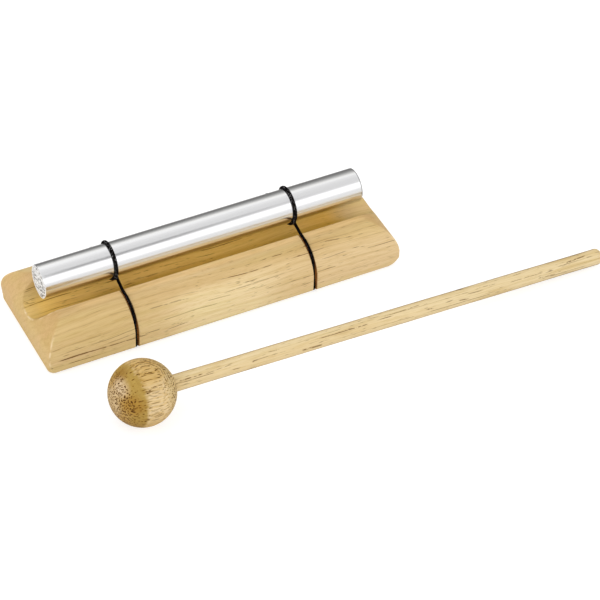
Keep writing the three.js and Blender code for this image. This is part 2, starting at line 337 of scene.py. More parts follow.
def block_marks(n, mm, bent, colour):
    """Painted shade: the routed groove is browner and darker than the sanded outside where the rod shades it, and
    the kerf walls are painted dark brown. The mitre edges are pale, partly rubbed and partly a painted highlight."""
    groove, kerf, mitre = n.attribute("groove"), n.attribute("kerf"), n.attribute("mitre")
    x, y, z = n.split(mm)
    # Fitted tone bands on the front: paler low down, darker high up at the left and right
    low_front_pale = n.math("MULTIPLY", n.remap(z, 21.0, 14.0), n.remap(x, -60.0, -10.0, 0.15, 1.0))
    low_front_pale = n.math("MULTIPLY", low_front_pale, n.math("SUBTRACT", 1.0, n.math("MULTIPLY", n.remap(x, 16.0, 30.0), n.remap(x, 48.0, 38.0, 0.0, 0.45))))
    low_front_pale = n.math("MULTIPLY", low_front_pale, n.remap(y, 0.0, -14.0))
    high_front_dark = n.math("MULTIPLY", n.remap(x, -20.0, -50.0), n.remap(z, 12.0, 15.0))
    high_front_dark = n.math("MAXIMUM", high_front_dark, n.math("MULTIPLY", n.remap(x, 30.0, 60.0), n.remap(z, 19.0, 21.0)))
    high_front_dark = n.math("MULTIPLY", high_front_dark, n.remap(y, 0.0, -8.0))
    colour = n.mix(high_front_dark, colour, n.mix(1.0, colour, (0.95, 0.93, 0.88), "MULTIPLY"))
    colour = n.mix(low_front_pale, colour, n.mix(1.0, colour, (1.09, 1.14, 1.28), "MULTIPLY"))
    ends = n.attribute("ends")
    colour = n.mix(ends, colour, n.mix(1.0, colour, (0.92, 0.86, 0.80), "MULTIPLY"))
    centre = n.math("MULTIPLY", n.remap(x, -35.0, -12.0), n.remap(x, 45.0, 22.0))
    pale = n.math("MULTIPLY", centre, n.remap(y, -14.0, -18.0))
    colour = n.mix(pale, colour, n.mix(1.0, colour, (1.04, 1.07, 1.11), "MULTIPLY"))
    foot = n.math("MULTIPLY", n.math("MULTIPLY", centre, n.remap(x, 28.0, 12.0)), n.remap(y, -21.5, -24.5))
    colour = n.mix(foot, colour, n.mix(1.0, colour, (1.06, 1.09, 1.11), "MULTIPLY"))
    # Painted shade and bounce light in the groove: browner and darker where the rod shades it, browner still in the
    # middle and at the right front, darker at the left end, fading towards the back
    groove_shade = n.mix(1.0, colour, (1.21, 1.10, 0.66), "MULTIPLY")
    inner = n.math("MULTIPLY", n.remap(x, -60.0, -42.0), n.remap(x, 56.0, 40.0))
    groove_shade = n.mix(inner, groove_shade, n.mix(1.0, groove_shade, (0.99, 0.96, 0.87), "MULTIPLY"))
    right_groove_shade = n.math("MULTIPLY", n.remap(x, 42.0, 60.0), n.remap(y, 6.0, 3.0))
    groove_shade = n.mix(right_groove_shade, groove_shade, n.mix(1.0, groove_shade, (0.96, 0.91, 0.70), "MULTIPLY"))
    groove_shade = n.mix(n.remap(x, -76.0, -82.0), groove_shade, n.mix(1.0, groove_shade, (0.90, 0.89, 0.96), "MULTIPLY"))
    colour = n.mix(n.math("MULTIPLY", groove, n.remap(y, 7.5, 4.6, 0.40, 1.0)), colour, groove_shade)
    # More painted shade on the groove's front half, weaker at its left end
    groove_front_shade = n.math("MULTIPLY", groove, n.remap(y, 1.0, -2.2))
    groove_front_shade = n.math("MULTIPLY", groove_front_shade, n.remap(x, -66.0, -42.0, 0.35, 1.0))
    colour = n.mix(groove_front_shade, colour, n.mix(1.0, colour, (0.86, 0.81, 0.58), "MULTIPLY"))
    # Painted shade on the groove's front wall
    wall = n.math("MULTIPLY", groove, n.remap(y, -4.6, -6.2))
    colour = n.mix(wall, colour, n.mix(1.0, colour, (0.80, 0.76, 0.87), "MULTIPLY"))
    # Fitted tone bands: the upper one makes up for the rod's shade here, so it is partly light
    brow = n.math("MULTIPLY", n.remap(y, -15.9, -13.2), n.remap(y, -10.2, -11.0))
    brow = n.math("MULTIPLY", brow, n.math("MULTIPLY", n.remap(x, -72.0, -62.0), n.remap(x, 79.0, 70.0)))
    colour = n.mix(brow, colour, n.mix(1.0, colour, (1.22, 1.23, 1.24), "MULTIPLY"))
    below = n.math("MULTIPLY", n.remap(y, -15.8, -17.4), n.remap(y, -22.6, -20.8))
    below = n.math("MULTIPLY", below, n.math("MULTIPLY", n.remap(x, -50.0, -8.0), n.remap(x, 62.0, 45.0)))
    colour = n.mix(below, colour, n.mix(1.0, colour, (0.92, 0.88, 0.81), "MULTIPLY"))
    # Pale mitre edges: partly rubbed wood, partly a painted highlight where the edges catch the light
    rub_and_highlight = n.mix(0.55, colour, (0.90, 0.74, 0.48))
    worn = n.noise(n.scale(mm, (0.3, 0.3, 0.3)), 1.0, 2.0)
    colour = n.mix(n.math("MULTIPLY", mitre, n.remap(worn, 0.35, 0.6)), colour, rub_and_highlight)
    for x0, z0, x1, z1, thick, seed, ink in (
        (-83.0, 8.0, -39.0, 7.3, 0.40, 1.0, 0.85), (-62.0, 9.2, -44.5, 10.4, 0.24, 2.0, 0.60),
        (-31.0, 6.4, -19.0, 7.0, 0.34, 3.0, 0.70), (-38.0, 17.9, -17.0, 17.4, 0.26, 4.0, 0.50),
        (49.5, 20.8, 67.0, 20.2, 0.16, 5.0, 0.65), (46.0, 16.3, 62.0, 16.6, 0.26, 6.0, 0.45),
        (-2.0, 15.4, 30.0, 15.8, 0.24, 7.0, 0.45),
    ):
        mark = n.math("MULTIPLY", grain_line(n, mm, x0, z0, x1, z1, thick, seed), ink)
        colour = n.mix(mark, colour, n.mix(1.0, colour, (0.26, 0.17, 0.085), "MULTIPLY"))
    # Painted shade in the kerfs: their walls are painted dark brown
    kerf_shade = n.mix(1.0, colour, (0.80, 0.44, 0.20), "MULTIPLY")
    return n.mix(kerf, colour, kerf_shade)


def shade_of(r, g, b, light=1.16):
    """Surface colour that looks like this under the studio light."""
    return tuple(c / light for c in srgb(r, g, b))


def turned_ball():
    """Turned from one open-pored blank with its vessels along the stick: cut across at the two
    poles, where they are dots, and lengthwise between, where they are dashes. An olive band
    lies between the left cap and the paler cheek beside the stick."""
    m, n, p = material("ball_wood")
    coord = n.new("ShaderNodeTexCoord").outputs["Object"]
    mm = n.scale(coord, (1000, 1000, 1000))
    x, y, z = n.split(mm)

    def near(at, inner, outer, squash=(1.0, 1.0, 1.0)):
        v = n.scale(n.vmath("SUBTRACT", mm, at), squash)
        length = n.new("ShaderNodeVectorMath", operation="LENGTH")
        n.put(length.inputs[0], v)
        return n.remap(length.outputs["Value"], outer, inner)

    def times(fac, colour, tint):
        return n.mix(fac, colour, n.mix(1.0, colour, tint, "MULTIPLY"))

    ragged = n.noise(n.scale(mm, (0.10, 0.22, 0.22)), 1.0, 1.0)
    xr = n.math("ADD", x, n.math("MULTIPLY", n.math("SUBTRACT", ragged, 0.5), 2.6))
    feather = n.noise(n.scale(mm, (0.12, 1.1, 1.1)), 1.0, 1.0)
    feather = n.math("MULTIPLY", n.math("SUBTRACT", feather, 0.5), n.remap(z, 3.0, 9.0, 1.6, 3.0))
    colour = n.mix(n.remap(x, -12.8, -14.4), shade_of(201, 164, 98), shade_of(216, 187, 141))
    colour = n.mix(n.remap(xr, -12.0, -8.5), colour, shade_of(188, 154, 78))
    step = n.remap(z, 10.0, 2.0, 2.2, 1.3)
    cheek = n.remap(n.math("ADD", n.math("ADD", xr, feather), 4.2), n.math("MULTIPLY", step, -0.5), step)
    colour = n.mix(cheek, colour, shade_of(238, 210, 161))
    colour = n.mix(n.remap(x, 4.5, 9.5), colour, shade_of(219, 192, 138))
    low = n.remap(z, 3.0, -9.0)
    colour = times(n.math("MULTIPLY", low, 0.9), colour, (0.82, 0.73, 0.52))
    crown = n.math("MULTIPLY", n.remap(z, 10.5, 14.0), n.remap(xr, -5.0, -3.0))
    colour = times(crown, colour, (0.85, 0.76, 0.52))
    colour = times(near((-9.5, 3.5, 11.2), 1.5, 6.0), colour, (0.78, 0.68, 0.52))
    # A pale patch high on the left cap: painted sheen
    colour = n.mix(near((-11.7, -2.2, 8.9), 0.6, 5.0, (1.0, 0.66, 0.80)), colour, shade_of(226, 199, 160))
    foot = near((-9.6, -10.6, 4.8), 2.4, 7.6, (1.0, 1.0, 1.15))
    colour = n.mix(n.math("MULTIPLY", foot, 0.85), colour, shade_of(178, 134, 54))
    # Slow figure and fibres
    streak = n.noise(n.scale(mm, (0.10, 1.0, 1.0)), 1.0, 3.0, 0.6)
    colour = times(n.remap(streak, 0.48, 0.72, 0.0, 0.7), colour, (0.86, 0.80, 0.66))
    colour = times(n.remap(streak, 0.46, 0.28), colour, (1.09, 1.10, 1.14))
    # Growth rings, centred far below on the stick side: arcs over the crown
    ry, rz = n.math("SUBTRACT", y, 12.0), n.math("ADD", z, 25.0)
    rho = n.math("SQRT", n.math("ADD", n.math("MULTIPLY", ry, ry), n.math("MULTIPLY", rz, rz)))
    uneven = n.noise(n.scale(mm, (0.08, 0.12, 0.12)), 1.0, 1.0)
    turn = n.math("ADD", n.math("DIVIDE", rho, 0.85), n.math("MULTIPLY", uneven, 3.2))
    late = n.math("ABSOLUTE", n.math("SUBTRACT", n.math("FRACT", turn), 0.5))
    broken = n.noise(n.scale(mm, (0.40, 0.55, 0.55)), 1.0, 2.0, 0.6)
    rim = n.math("MULTIPLY", n.remap(late, 0.20, 0.08), n.remap(broken, 0.38, 0.50))
    arcs = n.math("MULTIPLY", n.remap(z, 8.0, 10.5), n.remap(xr, -4.0, -2.0))
    arcs = n.math("MULTIPLY", arcs, near((1.5, -6.5, 13.5), 6.5, 4.5))
    rim = n.math("MULTIPLY", rim, n.math("MAXIMUM", arcs, 0.08))
    colour = n.mix(n.math("MULTIPLY", rim, 0.80), colour, shade_of(104, 68, 20))
    # Vessels
    wobble = n.noise_vec(n.scale(mm, (0.09, 0.35, 0.35)), 1.0, 0.0)
    path = n.vmath("ADD", n.vmath("ADD", mm, (40.0, 13.0, 7.0)), n.scale(wobble, (0, 1.8, 1.8)))
    along, py, pz = n.split(path)
    d, c = n.voronoi(n.join(py, pz, 0.0), 1.12, dims="2D")
    pick = n.split(c)
    poles = n.math("MAXIMUM", n.remap(xr, -7.0, -10.5), n.remap(xr, 7.0, 10.5))
    band = n.math("MULTIPLY", n.remap(xr, -10.5, -9.0), n.remap(xr, -3.5, -4.5))
    dense = n.math("ADD", 0.72, n.math("MULTIPLY", poles, 0.18))
    dense = n.math("SUBTRACT", dense, n.math("MULTIPLY", band, n.remap(z, -2.0, 7.0, 0.12, 0.52)))
    dense = n.math("ADD", dense, n.math("MULTIPLY", foot, 0.75))
    dense = n.math("SUBTRACT", dense, n.remap(x, 6.0, 9.0, 0.0, 0.14))
    size = n.math("ADD", n.remap(pick[1], 0.0, 1.0, 0.22, 0.36, "LINEAR"), n.math("MULTIPLY", poles, 0.08))
    dot = n.remap(d, size, n.math("MULTIPLY", size, 0.55))
    dot = n.math("MULTIPLY", dot, n.remap(n.math("SUBTRACT", dense, pick[0]), -0.03, 0.03))
    gaps = n.noise(n.scale(path, (0.36, 0.9, 0.9)), 1.0, 2.0, 0.6)
    side = n.math("SUBTRACT", 1.0, n.math("MAXIMUM", poles, foot))
    cut = n.mix(side, (1.0, 1.0, 1.0), n.remap(gaps, 0.43, 0.49))
    dot = n.math("MULTIPLY", dot, n.split(cut)[0])
    # The finish has soaked in round each one
    halo = n.math("MULTIPLY", n.remap(d, 0.62, 0.30), n.remap(n.math("SUBTRACT", dense, pick[0]), -0.03, 0.03))
    colour = times(n.math("MULTIPLY", halo, 0.7), colour, (0.92, 0.84, 0.62))
    ink = n.mix(n.math("MULTIPLY", side, 0.75), shade_of(78, 42, 0), shade_of(104, 70, 12))
    # fainter on the lower cheek
    faint = n.math("MULTIPLY", n.math("MULTIPLY", side, n.remap(xr, -3.5, -2.5)), n.remap(z, 12.0, 9.0))
    dot = n.math("MULTIPLY", dot, n.math("SUBTRACT", 1.0, n.math("MULTIPLY", faint, 0.45)))
    colour = n.mix(dot, colour, ink)
    # Smaller pores between them
    d2, c2 = n.voronoi(n.join(py, pz, n.math("MULTIPLY", along, 0.06)), 1.9)
    fine = n.math("MULTIPLY", n.remap(d2, 0.40, 0.18), n.remap(n.split(c2)[0], 0.65, 0.55))
    fine = n.math("MULTIPLY", fine, n.remap(band, 0.0, 1.0, 1.0, 0.35))
    fine = n.math("MULTIPLY", fine, n.remap(x, 7.0, 9.5, 1.0, 0.45))
    colour = n.mix(n.math("MULTIPLY", fine, 0.55), colour, shade_of(112, 72, 26))
    n.put(p["Base Color"], colour)
    height = n.math("ADD", n.math("MULTIPLY", dot, -1.0), n.math("MULTIPLY", streak, 0.3))
    n.put(p["Normal"], n.bump(height, 0.00006, 0.5))
    n.put(p["Roughness"], n.remap(streak, 0.3, 0.8, 0.40, 0.52, "LINEAR"))
    p["Specular IOR Level"].default_value = 0.12
    return m


PALE = dict(
    tone=(0.668, 0.499, 0.224),
    warm=(0.688, 0.494, 0.244),
    line=(0.22, 0.14, 0.045),
)
block_wood = wood("block_wood", **PALE, plain_ends=True, quiet=block_quiet, extra=block_marks)
ball_wood = turned_ball()


def stick_marks(n, mm, bent, colour):
    """Painted shade along the dowel's far upper edge, a fainter one along its near lower edge, and short cut vessels.
    """
    x, y, z = n.split(mm)
    colour = n.mix(1.0, colour, (1.03, 1.06, 1.10), "MULTIPLY")
    drift = n.noise(n.scale(mm, (0.05, 0.0, 0.0)), 1.0, 2.0)
    drift = n.math("MULTIPLY", n.math("SUBTRACT", drift, 0.5), 0.30)
    # Across the dowel: side runs from its near lower edge to its far upper edge
    side = n.math("ADD", n.math("MULTIPLY", y, 0.731 / STICK_R), n.math("MULTIPLY", z, 0.682 / STICK_R))
    face = n.math("ADD", n.math("MULTIPLY", y, -0.682 / STICK_R), n.math("MULTIPLY", z, 0.731 / STICK_R))
    face = n.math("ADD", face, drift)
    # Painted shade along the far upper edge
    edge_shade = n.math("MULTIPLY", n.remap(face, 0.50, 0.20), n.remap(face, -0.50, -0.20))
    edge_shade = n.math("MULTIPLY", edge_shade, n.remap(side, 0.3, 0.6))
    colour = n.mix(n.math("MULTIPLY", edge_shade, 0.9), colour, n.mix(1.0, colour, (0.44, 0.35, 0.22), "MULTIPLY"))
    # and a fainter painted shade along the near lower edge
    edge_shade = n.math("MULTIPLY", n.remap(face, 0.42, 0.20), n.remap(side, -0.3, -0.6))
    colour = n.mix(n.math("MULTIPLY", edge_shade, 0.8), colour, n.mix(1.0, colour, (0.74, 0.66, 0.50), "MULTIPLY"))
    cloud = n.noise(n.scale(bent, (0.035, 0.35, 0.35)), 1.0, 2.0)
    colour = n.mix(n.remap(cloud, 0.52, 0.68, 0.0, 0.7), colour, n.mix(1.0, colour, (0.88, 0.83, 0.70), "MULTIPLY"))
    front = n.remap(face, -0.1, 0.1)
    for x0, s0, x1, s1, thick, ink in (
        (16.0, 0.05, 28.0, 0.09, 0.085, 0.95), (28.5, -0.04, 42.0, 0.20, 0.06, 0.6), (51.0, -0.23, 54.5, -0.17, 0.11, 0.95),
        (41.0, -0.43, 46.0, -0.47, 0.07, 0.65), (59.5, 0.34, 66.0, 0.24, 0.06, 0.65), (82.0, 0.12, 110.0, 0.11, 0.07, 0.85),
        (75.5, -0.62, 86.5, -0.66, 0.12, 0.8), (139.0, -0.27, 143.5, -0.30, 0.08, 0.8), (149.0, -0.76, 151.0, -0.76, 0.09, 0.9),
        (155.5, -0.31, 161.5, -0.44, 0.10, 0.75), (183.0, 0.01, 201.0, 0.02, 0.06, 0.65), (197.5, -0.50, 207.5, -0.62, 0.08, 0.65),
        (213.0, 0.32, 226.0, 0.50, 0.10, 0.8), (118.0, 0.40, 137.0, 0.52, 0.07, 0.6), (166.0, 0.46, 178.0, 0.30, 0.06, 0.5),
    ):
        slope = (s1 - s0) / (x1 - x0)
        level = n.math("ADD", n.math("MULTIPLY", x, slope), s0 - slope * x0)
        level = n.math("ADD", level, n.math("MULTIPLY", drift, 0.25))
        away = n.math("ABSOLUTE", n.math("SUBTRACT", side, level))
        gaps = n.noise(n.join(n.math("MULTIPLY", x, 0.55), 3.0 * s0 + x0, n.math("MULTIPLY", side, 5.0)), 1.0, 2.0, 0.6)
        mark = n.math("MULTIPLY", n.remap(away, thick, 0.35 * thick), n.remap(gaps, 0.40, 0.50, 0.1, 1.0))
        mark = n.math("MULTIPLY", mark, n.math("MULTIPLY", n.remap(x, x0, x0 + 1.5), n.remap(x, x1, x1 - 1.5)))
        mark = n.math("MULTIPLY", mark, n.math("MULTIPLY", front, ink))
        colour = n.mix(mark, colour, n.mix(1.0, colour, (0.24, 0.15, 0.06), "MULTIPLY"))
    return colour


stick_wood = wood("stick_wood", tone=(0.74, 0.575, 0.32), warm=(0.73, 0.55, 0.29), line=(0.17, 0.095, 0.04),
                  shift=(-30, 31, 17), pith=(-20.0, -30.0), ring=1.7, fine=1.15, wander=0.45, roughness=0.45, dense=0.26,
                  extra=stick_marks)


# ---------------------------------------------------------------- metal
def polished_rod():
    """Drawn and polished aluminium: a bright surface with faint lines along it; grey, torn ends."""
    m, n, p = material("polished_aluminium")
    coord = n.new("ShaderNodeTexCoord").outputs["Object"]
    mm = n.scale(coord, (1000, 1000, 1000))
    x, y, z = n.split(mm)
    scratch = n.noise(n.scale(mm, (0.02, 3.0, 3.0)), 1.0, 3.0, 0.6)
    cloud = n.noise(n.scale(mm, (0.05, 0.25, 0.25)), 1.0, 2.0)
    bright = n.mix(n.remap(scratch, 0.45, 0.8, 0.0, 0.5), (0.905, 0.905, 0.910), (0.84, 0.84, 0.85))
    # Painted dark reflection along the top of the far end's broken edge
    rim_dark_reflection = n.math("MULTIPLY", n.remap(x, 77.55, 77.75), n.remap(z, 30.0, 33.0))
    n.put(p["Base Color"], n.mix(n.math("MULTIPLY", rim_dark_reflection, 0.85), bright, (0.06, 0.06, 0.06)))
    p["Metallic"].default_value = 1.0
    n.put(p["Roughness"], n.remap(cloud, 0.3, 0.7, 0.17, 0.22, "LINEAR"))
    n.put(p["Normal"], n.bump(scratch, 0.000006, 0.3))
    return m


def mm_radius(n, mm):
    """Distance, mm, from the rod's axis."""
    x, y, z = n.split(mm)
    dy, dz = n.math("SUBTRACT", y, ROD_Y), n.math("SUBTRACT", z, ROD_Z)
    return n.math("SQRT", n.math("ADD", n.math("MULTIPLY", dy, dy), n.math("MULTIPLY", dz, dz)))


def sawn_end():
    """Sawn and lightly tumbled aluminium: torn, mottled and matt, with painted shade in its pits and painted glints on
    bright facets.
    """
    m, n, p = material("sawn_aluminium")
    coord = n.new("ShaderNodeTexCoord").outputs["Object"]
    mm = n.scale(coord, (1000, 1000, 1000))
    x, y, z = n.split(mm)
    # Saw arcs across the face, broken by torn pits
    ay, az = n.math("ADD", y, 30.0), n.math("SUBTRACT", z, 52.0)
    arc = n.math("SQRT", n.math("ADD", n.math("MULTIPLY", ay, ay), n.math("MULTIPLY", az, az)))
    arcs = n.noise(n.join(n.math("MULTIPLY", arc, 2.0), n.math("MULTIPLY", y, 0.25), n.math("MULTIPLY", z, 0.25)), 1.0, 2.0, 0.6)
    tear = n.noise(n.scale(mm, (0.8, 1.5, 1.5)), 1.0, 3.0, 0.7)
    # Tears lie across the saw's path, in rows
    lean = n.math("ADD", y, n.math("MULTIPLY", n.noise(n.scale(mm, (0.1, 0.2, 0.2)), 1.0, 1.0), 3.0))
    row = n.join(n.math("MULTIPLY", lean, 0.46), n.math("MULTIPLY", z, 0.95), 0.0)
    pits, kind = n.voronoi(row, dims="2D")
    kind = n.split(kind)[0]
    mottle = n.math("ADD", n.math("MULTIPLY", tear, 0.6), n.math("MULTIPLY", arcs, 0.4))
    grey = n.mix(n.remap(mottle, 0.45, 0.53), (0.56, 0.56, 0.555), (1.0, 1.0, 1.0))
    worn = n.math("SUBTRACT", mm_radius(n, mm), 7.0)
    spot = n.math("MULTIPLY", n.remap(pits, 0.42, 0.32), n.remap(worn, 0.35, -0.1))
    # fewer towards the back
    often = n.remap(n.math("ADD", y, n.math("MULTIPLY", z, 0.25)), 11.5, 7.0, 0.12, 0.62)
    # Specks of painted shade in the pits, then painted glints on bright facets
    grey = n.mix(n.math("MULTIPLY", spot, n.remap(n.math("SUBTRACT", often, kind), -0.02, 0.03)), grey, (0.045, 0.046, 0.046))
    grey = n.mix(n.math("MULTIPLY", spot, n.remap(kind, 0.66, 0.70)), grey, (1.0, 1.0, 1.0))
    grey = n.mix(n.remap(worn, 0.0, 0.5), grey, (0.99, 0.985, 0.98))
    n.put(p["Base Color"], grey)
    p["Metallic"].default_value = 0.55
    n.put(p["Roughness"], n.remap(tear, 0.3, 0.7, 0.32, 0.55, "LINEAR"))
    height = n.math("ADD", mottle, n.math("MULTIPLY", n.remap(pits, 0.0, 0.3), 0.5))
    n.put(p["Normal"], n.bump(height, 0.00025, 0.8))
    return m


rod_metal, end_metal = polished_rod(), sawn_end()


# ---------------------------------------------------------------- elastic cord
def cord_cover():
    m, n, p = material("black_elastic")
    coord = n.new("ShaderNodeTexCoord").outputs["Object"]
    mm = n.scale(coord, (1000, 1000, 1000))
    fuzz = n.noise(n.scale(mm, (9, 9, 9)), 1.0, 2.0)
    worn = n.noise(n.scale(mm, (1.3, 1.3, 1.3)), 1.0, 1.0)
    high = n.remap(n.split(mm)[2], 23.0, 26.0)
    relief = n.new("ShaderNodeAttribute", attribute_name="yarn").outputs["Fac"]
    dark = n.mix(n.remap(worn, 0.4, 0.7), (0.0022, 0.0016, 0.0016), (0.0040, 0.0032, 0.0032))
    # Painted highlights: pale grey glints on the yarn crests where the noise allows, most of all high on the turn round
    # the rod
    painted_glint = n.math("MULTIPLY", n.remap(worn, 0.50, 0.60), n.math("ADD", 0.12, n.math("MULTIPLY", high, 0.88)))
    crest = n.mix(painted_glint, (0.005, 0.0045, 0.0045), (0.50, 0.49, 0.50))
    n.put(p["Base Color"], n.mix(n.remap(relief, 0.76, 0.95, 0.0, 0.9), dark, crest))
    n.put(p["Roughness"], n.remap(fuzz, 0.3, 0.7, 0.50, 0.72, "LINEAR"))
    n.put(p["Normal"], n.bump(fuzz, 0.00003, 0.5))
    p["Specular IOR Level"].default_value = 0.02
    return m


elastic = cord_cover()


# ---------------------------------------------------------------- the block
def domed(u, z, half, width):
    """Signed distance, mm, to the outline: upright wall, elliptic rounding, flat top."""
    du, dz = u - (half - width), z - WALL_TOP
    k0 = np.sqrt((du / width) ** 2 + (dz / DOME_H) ** 2)
    k1 = np.sqrt((du / width**2) ** 2 + (dz / DOME_H**2) ** 2) + 1e-9
    curve = k0 * (k0 - 1) / k1
    flat = np.maximum(u - half, z - BLOCK_H)
    return np.where((du > 0) & (dz > 0), curve, flat)


def round_max(a, b, r):
    return np.minimum(np.maximum(a, b), -r) + np.hypot(np.maximum(a + r, 0), np.maximum(b + r, 0))


def block_distance(p):
    x, y, z = p[:, 0], p[:, 1], p[:, 2]
    side = domed(np.abs(y), z, BLOCK_W / 2, DOME_SIDE)
    end = domed(np.abs(x), z, BLOCK_L / 2, DOME_END)
    right = smooth(0, 60, x)
    corner = 0.45 + 2.9 * (1 - smooth(2.0, 9.5, z)) * (1 - right) + 5.5 * (1 - smooth(0.0, 6.0, z)) * right
    d = round_max(side, end, corner)
    d = round_max(d, -z, FOOT_R)
    outer = d
    groove = COVE_R - np.hypot(y, z - COVE_Z)
    d = round_max(d, groove, 0.32)
    depth = 2.0 - 1.1 * smooth(12.0, 21.5, z)
    for k in KERFS.values():
        slot = np.maximum(np.abs(x - k) - KERF_W / 2, -(outer + depth))
        d = round_max(d, -slot, 0.14)
    return d


def surface_masks(p):
    """Where a surface point lies: in the groove, on a kerf's walls, on a mitre edge."""
    x, y, z = p[:, 0], p[:, 1], p[:, 2]
    side = domed(np.abs(y), z, BLOCK_W / 2, DOME_SIDE)
    end = domed(np.abs(x), z, BLOCK_L / 2, DOME_END)
    outer = np.maximum(side, end)
    off_axis = np.hypot(y, z - COVE_Z)
    groove = smooth(-0.10, -0.55, outer) * smooth(COVE_R + 0.5, COVE_R + 0.2, off_axis)
    inner = groove.copy()
    # Away from the rod the groove sees the light
    groove *= (0.12 + 0.88 * smooth(75.0, 63.0, x)) * (0.68 + 0.32 * smooth(-86.0, -76.0, x))
    near = np.min([np.abs(x - k) for k in KERFS.values()], axis=0)
    kerf = smooth(-0.15, -0.5, outer) * (near < KERF_W / 2 + 0.25) * (1 - inner)
    mitre = smooth(0.9, 0.1, np.abs(side - end)) * smooth(-0.5, -0.3, outer)
    mitre *= smooth(20.5, 15.0, z) * smooth(1.0, 5.0, z)
    # The groove's left mouth has a pale lip as well: a painted highlight, partly rubbed
    lip = smooth(0.75, 0.15, np.abs(off_axis - COVE_R)) * smooth(-0.75, -0.15, outer) * smooth(-74.0, -78.0, x)
    mitre = np.maximum(mitre, 0.9 * lip * smooth(4.0, 1.5, y))
    ends = smooth(-0.4, 0.4, end - side) * (1 - inner)
    return {"groove": groove, "kerf": kerf, "mitre": mitre, "ends": ends}


def gradient(p, eps):
    g = np.empty_like(p)
    for i in range(3):
        q = p.copy()
        q[:, i] += eps
        hi = block_distance(q)
        q[:, i] -= 2 * eps
        g[:, i] = (hi - block_distance(q)) / (2 * eps)
    return g


def make_block():
    """The CAD block remeshed finely, then every point is put on the eased, rounded surface."""
    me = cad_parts["resonator_base"].data.copy()
    ob = bpy.data.objects.new("block_raw", me)
    bpy.context.scene.collection.objects.link(ob)
    mod = ob.modifiers.new("remesh", "REMESH")
    mod.mode = "VOXEL"
    mod.voxel_size = 0.42 * MM
    dg = bpy.context.evaluated_depsgraph_get()
    fine = bpy.data.meshes.new_from_object(ob.evaluated_get(dg))
    bpy.data.objects.remove(ob)
    co = np.empty(len(fine.vertices) * 3)
    fine.vertices.foreach_get("co", co)
    co = co.reshape(-1, 3) / MM
    ends = np.empty(len(fine.edges) * 2, np.int64)
    fine.edges.foreach_get("vertices", ends)
    a, b = ends[0::2], ends[1::2]
    count = np.bincount(np.r_[a, b], minlength=len(co))[:, None]
    for step in range(9):
        g = gradient(co, 0.03)
        size = np.sum(g * g, 1)
        move = block_distance(co) / np.maximum(size, 0.2)
        co -= np.clip(move, -0.6, 0.6)[:, None] * g
        if step in (2, 4, 6):
            total = np.zeros_like(co)
            for i in range(3):
                total[:, i] = np.bincount(a, co[b, i], len(co)) + np.bincount(b, co[a, i], len(co))
            pull = total / count - co
            unit = g / np.sqrt(np.maximum(size, 1e-6))[:, None]
            pull -= np.sum(pull * unit, 1)[:, None] * unit
            co += 0.5 * pull
    g = gradient(co, 0.06)
    g /= np.linalg.norm(g, axis=1)[:, None]
    fine.vertices.foreach_set("co", (co * MM).ravel())
    fine.update()
    fine.polygons.foreach_set("use_smooth", [True] * len(fine.polygons))
    fine.normals_split_custom_set_from_vertices([tuple(v) for v in g])
    for key, values in surface_masks(co).items():
        at_ = fine.attributes.new(key, "FLOAT", "POINT")
        at_.data.foreach_set("value", values.astype(np.float32))
    fine.name = "resonator_block"
    out = bpy.data.objects.new("resonator_block", fine)
    bpy.context.scene.collection.objects.link(out)
    return out


block = make_block()
block.data.materials.clear()
block.data.materials.append(block_wood)
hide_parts("resonator_base")
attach(block, "base")


# ---------------------------------------------------------------- the rod
def value_noise(p, seed):
    """Smooth noise from -1 to 1 over points, on a lattice of random numbers."""
    rng = np.random.default_rng(seed)
    table = rng.uniform(-1, 1, (32, 32))
    f = np.floor(p).astype(int)
    t = p - f
    t = t * t * (3 - 2 * t)
    i, j = f[:, 0] % 32, f[:, 1] % 32
    i1, j1 = (i + 1) % 32, (j + 1) % 32
    return (
        (table[i, j] * (1 - t[:, 0]) + table[i1, j] * t[:, 0]) * (1 - t[:, 1])
        + (table[i, j1] * (1 - t[:, 0]) + table[i1, j1] * t[:, 0]) * t[:, 1]
    )


